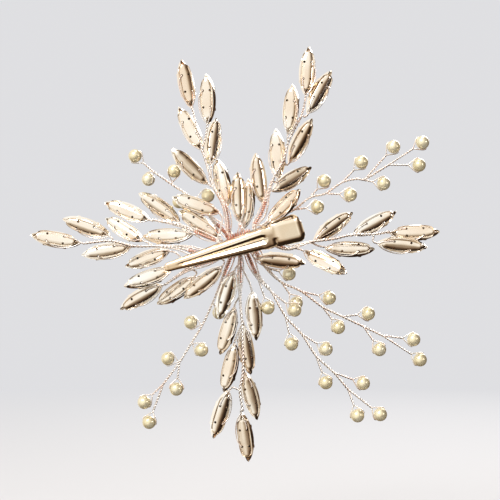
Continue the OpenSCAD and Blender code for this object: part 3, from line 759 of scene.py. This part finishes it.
def add_ear(shape, z):
    """A rounded lug that carries the pivot pin"""
    radius, thick = 1.9, 0.42
    inside = z - math.copysign(thick, z)
    arc = [(PIVOT_REACH + radius * math.cos(a), radius * math.sin(a))
           for a in np.radians(np.arange(-180, 1, 9))]
    outline = arc + [(PIVOT_REACH + radius, BACK_Y - 0.3), (PIVOT_REACH - radius, BACK_Y - 0.3)]
    hole_r = 0.8
    n = len(outline)
    hole = []
    for x, y in outline:
        a = math.atan2(y, x - PIVOT_REACH)
        hole.append((PIVOT_REACH + hole_r * math.cos(a), hole_r * math.sin(a)))
    corners = [(x, y, z) for x, y in outline] + [(x, y, inside) for x, y in outline]
    corners += [(x, y, z) for x, y in hole] + [(x, y, inside) for x, y in hole]
    faces = []
    for k in range(n):
        m = (k + 1) % n
        faces += [(k, m, n + m, n + k), (2 * n + m, 2 * n + k, 3 * n + k, 3 * n + m),
                  (m, k, 2 * n + k, 2 * n + m), (n + k, n + m, 3 * n + m, 3 * n + k)]
    if z < 0:
        faces = [tuple(reversed(f)) for f in faces]
    shape.add(corners, faces)


def jaw(name, ear_at, side, grooved, body, node):
    shape = Shape()
    shape.add_copy(jaw_template(ear_at, grooved), CLIP @ Matrix.Diagonal((1, side, 1, 1)))
    if side < 0:
        shape.faces = [tuple(reversed(f)) for f in shape.faces]
    obj = shape.to_object(name, [CLIP_METAL])
    tidy_normals(obj)
    round_edges(obj, 0.06)
    keep(obj, body, node)


def tidy_normals(obj):
    bm = bmesh.new()
    bm.from_mesh(obj.data)
    bmesh.ops.remove_doubles(bm, verts=bm.verts, dist=1e-7)
    bmesh.ops.recalc_face_normals(bm, faces=bm.faces)
    bm.to_mesh(obj.data)
    bm.free()


def round_edges(obj, width):
    bevel = obj.modifiers.new("round", "BEVEL")
    bevel.width = width * MM
    bevel.segments = 2
    bevel.limit_method = "ANGLE"
    bevel.angle_limit = math.radians(50)
    obj.data.set_sharp_from_angle(angle=math.radians(50))


def keep(obj, body, node):
    """Every piece rides on its body and stands for its CAD node, which it hides"""
    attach(obj, body)
    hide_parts(node)


def spring():
    """The torsion spring: the coil round the pin and a leg under each pad"""
    leg, angle, radius, half, turns = 6.5, PAD_ANGLE + 2, 1.15, 1.45, 4
    sweep = 360 * (turns - 2 * angle / 360)
    coil = [(PIVOT_REACH + radius * math.cos(math.radians(a)), radius * math.sin(math.radians(a)),
             half * (2 * (a - 90 - angle) / sweep - 1))
            for a in np.arange(90 + angle, 90 + angle + sweep + 0.1, 12)]
    away = np.array([math.cos(math.radians(angle)), math.sin(math.radians(angle)), 0])
    first = [np.array(coil[0]) + away * d for d in np.linspace(leg, 0.5, 10)]
    last = [np.array(coil[-1]) + away * [1, -1, 1] * d for d in np.linspace(0.5, leg, 10)]
    shape = Shape()
    add_tube(shape, in_clip(first + [np.array(c) for c in coil] + last), 0.25, 10)
    obj = shape.to_object("spring_coil", [STEEL])
    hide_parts("torsion_spring")
    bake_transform(obj)


def bundle():
    """The sprigs' tails twisted together like a rope along the fixed jaw"""
    shape = Shape()
    line = in_clip([(x, BUNDLE_Y, 0) for x in np.linspace(-8, 5, 30)])
    add_twist(shape, line, 0.5, 0.95, 9, strands=6, sides=8)
    add_tube(shape, line, 0.55, 8)
    keep(shape.to_object("tail_bundle", [WIRE_METAL]), "spray", "stem_bundle")


def winding_point(a, along):
    """A point on a wrap round the fixed jaw and the bundle, a from 0 to 1 round it"""
    low, high, side, corner = -0.12, BUNDLE_Y + BUNDLE_R + 0.2, BLADE_HALF + 0.22, 1.1
    w, h = side - corner, (high - low) / 2 - corner
    middle = (high + low) / 2
    angle = 2 * math.pi * a
    push = 1 / max(abs(math.cos(angle)), abs(math.sin(angle)))
    z = min(1, max(-1, push * math.cos(angle))) * w + corner * math.cos(angle)
    y = min(1, max(-1, push * math.sin(angle))) * h + corner * math.sin(angle)
    return (along, middle + y, z)


def binding():
    """One long copper wire wound round jaw and bundle, and thinner wraps on the stems' ends"""
    shape = Shape()
    turns, steps = 10, 40
    start, end = -4.1, 3.1
    line = []
    for i in range(turns * steps):
        a = i / steps
        wander = 0.12 * math.sin(5.1 * a) * math.sin(2 * math.pi * a)
        line.append(winding_point(a % 1, start + (end - start) * i / (turns * steps) + wander))
    add_tube(shape, in_clip(line), 0.2, 8)
    for sprig in [*STONE_SPRIGS.values(), *PEARL_SPRIGS.values()]:
        stem = evenly(smooth_line(sprig["line"]), 0.3)
        if len(stem) > 10:
            add_twist(shape, stem[-26:], 0.16, 0.46, 0.62, strands=1)
    keep(shape.to_object("binding_wire", [COPPER]), "spray", "jaw_binding")


# ---- Sprigs ----
def leaf_stalk(shape, start, place):
    """Two wires leave the stem as a twist and part under the cup: one enters the near hole, the
    other runs along the cup's lower edge to the far one"""
    inner = place @ Vector((0.2, 0.1, 0))
    lead = place @ Vector((-1.4, 0.0, 0))
    start = np.array(start, float)
    line = smooth_line([start, np.array(lead) * 0.75 + start * 0.25, np.array(inner)], 8)
    add_twist(shape, line, WIRE_R, 0.16, 1.8)
    s = -1 if (place.to_3x3() @ Vector((0, 0, 1))).z > 0 else 1
    x1, x2 = HOLE_X
    near = ((0.1, 0.05, -s * 0.1), (1.6, -0.1, -s * 0.7), (x1 - 0.9, -0.2, -s * 1.2),
            (x1 - 0.1, -0.2, -s * HOLE_Z), (x1 + 0.05, 0.6, -s * HOLE_Z))
    far = ((0.1, 0.1, s * 0.15), (1.8, 0.1, s * 1.4), (4.6, 0.3, s * 2.3), (7.4, 0.25, s * 2.35),
           (x2 - 0.8, -0.1, s * 1.75), (x2 - 0.05, -0.2, s * (HOLE_Z + 0.05)),
           (x2 + 0.05, 0.6, s * HOLE_Z))
    for path in (near, far):
        add_tube(shape, smooth_line([place @ Vector(p) for p in path], 5), 0.16)


def inward(line):
    """The stem's line with its inner end led on into the bundle"""
    end = np.array(line[-1], float)
    toward = in_clip([(max(-7, min(4.5, (CLIP.inverted() @ Vector(end))[0])), BUNDLE_Y, 0)])[0]
    return list(line) + [end + (toward - end) * 0.75]


def add_tails(shape, points):
    """The stalks' own wires run on beside the stem, part near the hub and end in the bundle"""
    line = evenly(smooth_line(inward(points)), 0.8)
    line = line[-min(len(line), 22):]
    u, v = frames(line)
    along = np.linspace(0, 1, len(line))
    for k in range(3):
        angle = 2 * math.pi * k / 3 + random.random() * 2
        bulge = 0.7 + 0.5 * random.random()
        reach = 0.28 + bulge * np.sin(math.pi * along ** 1.3) ** 2
        away = math.cos(angle) * u + math.sin(angle) * v
        add_twist(shape, line + reach[:, None] * away, 0.13, 0.12, 1.5)


def stone_sprig(name, sprig, cup_kinds, stone):
    places = [stone_place(s) for s in sprig["stones"]]
    wires = Shape()
    add_twist(wires, smooth_line(inward(sprig["line"])), 0.22, 0.21, 2.2)
    for s, place in zip(sprig["stones"], places):
        leaf_stalk(wires, sprig["line"][s[0]], place)
    add_tails(wires, sprig["line"])
    keep(wires.to_object(name + "_twist", [WIRE_METAL]), "spray", name + "_stem")
    cups, stones = Shape(), Shape()
    for i, place in enumerate(places):
        cups.add_copy(cup_kinds[1 if i == 0 or random.random() < OPEN_SHARE else 0], place)
        stones.add_copy(stone, place)
        # fresh random facet values for each stone, so each one gets its own painted reflections
        stones.values[-len(stone.faces):] = [random.random() for _ in stone.faces]
    obj = cups.to_object(name + "_cups", [CUP_METAL])
    tidy_normals(obj)
    obj.data.set_sharp_from_angle(angle=math.radians(38))
    keep(obj, "spray", name + "_settings")
    obj = stones.to_object(name + "_navettes", [CROWN, FOIL], smooth=False, facets=True)
    tidy_normals(obj)
    keep(obj, "spray", name + "_stones")


def pearl_sprig(name, sprig, bead):
    wires, beads = Shape(), Shape()
    add_twist(wires, smooth_line(inward(sprig["line"])), 0.2, 0.19, 2.0)
    for p in sprig["pearls"]:
        add_pearl_wire(wires, sprig["line"][p[0]], p[1:])
        beads.add_copy(bead, pearl_place(sprig["line"][p[0]], p[1:]))
    add_tails(wires, sprig["line"])
    keep(wires.to_object(name + "_twist", [WIRE_METAL]), "spray", name + "_wire")
    obj = beads.to_object(name + "_beads", [PEARL])
    tidy_normals(obj)
    obj.data.set_sharp_from_angle(angle=math.radians(60))
    keep(obj, "spray", name)


# ---- Camera, light and floor ----
PALE = (0.74, 0.74, 0.76)
ROOM_STOPS = [(0.08, (0.022, 0.013, 0.008)), (0.27, (0.12, 0.070, 0.040)),
              (0.39, (0.37, 0.29, 0.21)), (0.48, (0.74, 0.68, 0.585)), (0.60, (1.0, 0.985, 0.95))]
FLOOR_DROP = 0.03
FLOOR_HALF = 3.0


def camera():
    bpy.context.scene.view_settings.view_transform = "Standard"
    data = bpy.data.cameras.new("camera")
    data.lens = 100
    obj = bpy.data.objects.new("camera", data)
    obj.location = (0.0021, -0.403, -0.00165)
    obj.rotation_euler = (math.pi / 2, 0, 0)
    bpy.context.scene.collection.objects.link(obj)
    bpy.context.scene.camera = obj


def softbox(name, place, size, power, colour=(1, 1, 1)):
    data = bpy.data.lights.new(name, "AREA")
    data.size = size
    data.energy = power
    data.color = colour
    obj = bpy.data.objects.new(name, data)
    obj.location = place
    obj.rotation_euler = Vector(place).to_track_quat("Z", "Y").to_euler()
    bpy.context.scene.collection.objects.link(obj)


def lamps():
    softbox("key", (-0.35, -0.55, 0.55), 0.35, 3.2, (1.0, 0.97, 0.93))
    softbox("side", (0.60, -0.35, 0.15), 0.16, 0.6, (1.0, 0.93, 0.90))
    softbox("top", (0.05, 0.05, 0.70), 0.30, 1.4)
    softbox("back", (0.25, 0.60, 0.30), 0.30, 2.0, (1.0, 0.98, 0.96))


def maths(nodes, operation):
    node = nodes.new("ShaderNodeMath")
    node.operation = operation
    return node


def room():
    """What the metal mirrors: pale before, behind, above and to the left of the object, brown and
    dark to the right and below. The camera itself sees a plain pale backdrop."""
    world = bpy.data.worlds.new("world")
    bpy.context.scene.world = world
    world.use_nodes = True
    nodes, links = world.node_tree.nodes, world.node_tree.links
    towards = nodes.new("ShaderNodeTexCoord").outputs["Generated"]
    parts = nodes.new("ShaderNodeSeparateXYZ")
    links.new(towards, parts.inputs[0])
    facing = maths(nodes, "ABSOLUTE")
    links.new(parts.outputs["Y"], facing.inputs[0])
    lean = nodes.new("ShaderNodeVectorMath")
    lean.operation = "DOT_PRODUCT"
    lean.inputs[1].default_value = (-0.40, 0.0, 0.32)
    links.new(towards, lean.inputs[0])
    total = maths(nodes, "MULTIPLY_ADD")
    total.inputs[1].default_value = 0.46
    links.new(facing.outputs["Value"], total.inputs[0])
    links.new(lean.outputs["Value"], total.inputs[2])
    patches = maths(nodes, "MULTIPLY_ADD")
    patches.inputs[1].default_value = 0.24
    links.new(noise(nodes, links, towards, 2.2, 1), patches.inputs[0])
    links.new(total.outputs["Value"], patches.inputs[2])
    surround = nodes["Background"]
    links.new(ramp(nodes, links, patches.outputs["Value"], ROOM_STOPS), surround.inputs["Color"])
    surround.inputs["Strength"].default_value = 1.08
    seen = nodes.new("ShaderNodeBackground")
    seen.inputs["Color"].default_value = (*PALE, 1)
    mix = nodes.new("ShaderNodeMixShader")
    ray = nodes.new("ShaderNodeLightPath")
    links.new(ray.outputs["Is Camera Ray"], mix.inputs["Fac"])
    links.new(surround.outputs["Background"], mix.inputs[1])
    links.new(seen.outputs["Background"], mix.inputs[2])
    links.new(mix.outputs["Shader"], nodes["World Output"].inputs["Surface"])


def floor():
    """A pale floor that fades into the backdrop's colour away from the object"""
    mat, nodes, links, shader = new_material("floor")
    shader.inputs["Base Color"].default_value = (0.60, 0.60, 0.62, 1)
    shader.inputs["Roughness"].default_value = 0.8
    place = nodes.new("ShaderNodeTexCoord").outputs["Object"]
    far = nodes.new("ShaderNodeVectorMath")
    far.operation = "LENGTH"
    links.new(place, far.inputs[0])
    fade = nodes.new("ShaderNodeMapRange")
    fade.inputs["From Min"].default_value = 0.12
    fade.inputs["From Max"].default_value = 0.55
    links.new(far.outputs["Value"], fade.inputs["Value"])
    glow = nodes.new("ShaderNodeEmission")
    glow.inputs["Color"].default_value = (*PALE, 1)
    mix = nodes.new("ShaderNodeMixShader")
    links.new(fade.outputs["Result"], mix.inputs["Fac"])
    links.new(shader.outputs["BSDF"], mix.inputs[1])
    links.new(glow.outputs["Emission"], mix.inputs[2])
    links.new(mix.outputs["Shader"], nodes["Material Output"].inputs["Surface"])
    mesh = bpy.data.meshes.new("floor")
    half, level = FLOOR_HALF, cad_low[2] - FLOOR_DROP
    mesh.from_pydata([(-half, -half, level), (half, -half, level), (half, half, level),
                      (-half, half, level)], [], [(0, 1, 2, 3)])
    mesh.materials.append(mat)
    obj = bpy.data.objects.new("floor", mesh)
    bpy.context.scene.collection.objects.link(obj)
    # the floor is left out of reflections, so polished metal mirrors the room below it
    obj.visible_glossy = False


camera()
lamps()
room()
floor()
jaw("thumb_jaw", 3.05, -1, True, "lever", "moving_jaw")
jaw("tied_jaw", 2.4, 1, False, "spray", "fixed_jaw")
spring()
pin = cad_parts["pivot_pin"]
pin.data.materials.clear()
pin.data.materials.append(CLIP_METAL)
bundle()
binding()
cup_shapes = [cup_template(False), cup_template(True)]
stone_shape = stone_template()
for sprig_name, sprig_data in STONE_SPRIGS.items():
    stone_sprig(sprig_name, sprig_data, cup_shapes, stone_shape)
bead_shape = pearl_template()
for sprig_name, sprig_data in PEARL_SPRIGS.items():
    pearl_sprig(sprig_name, sprig_data, bead_shape)
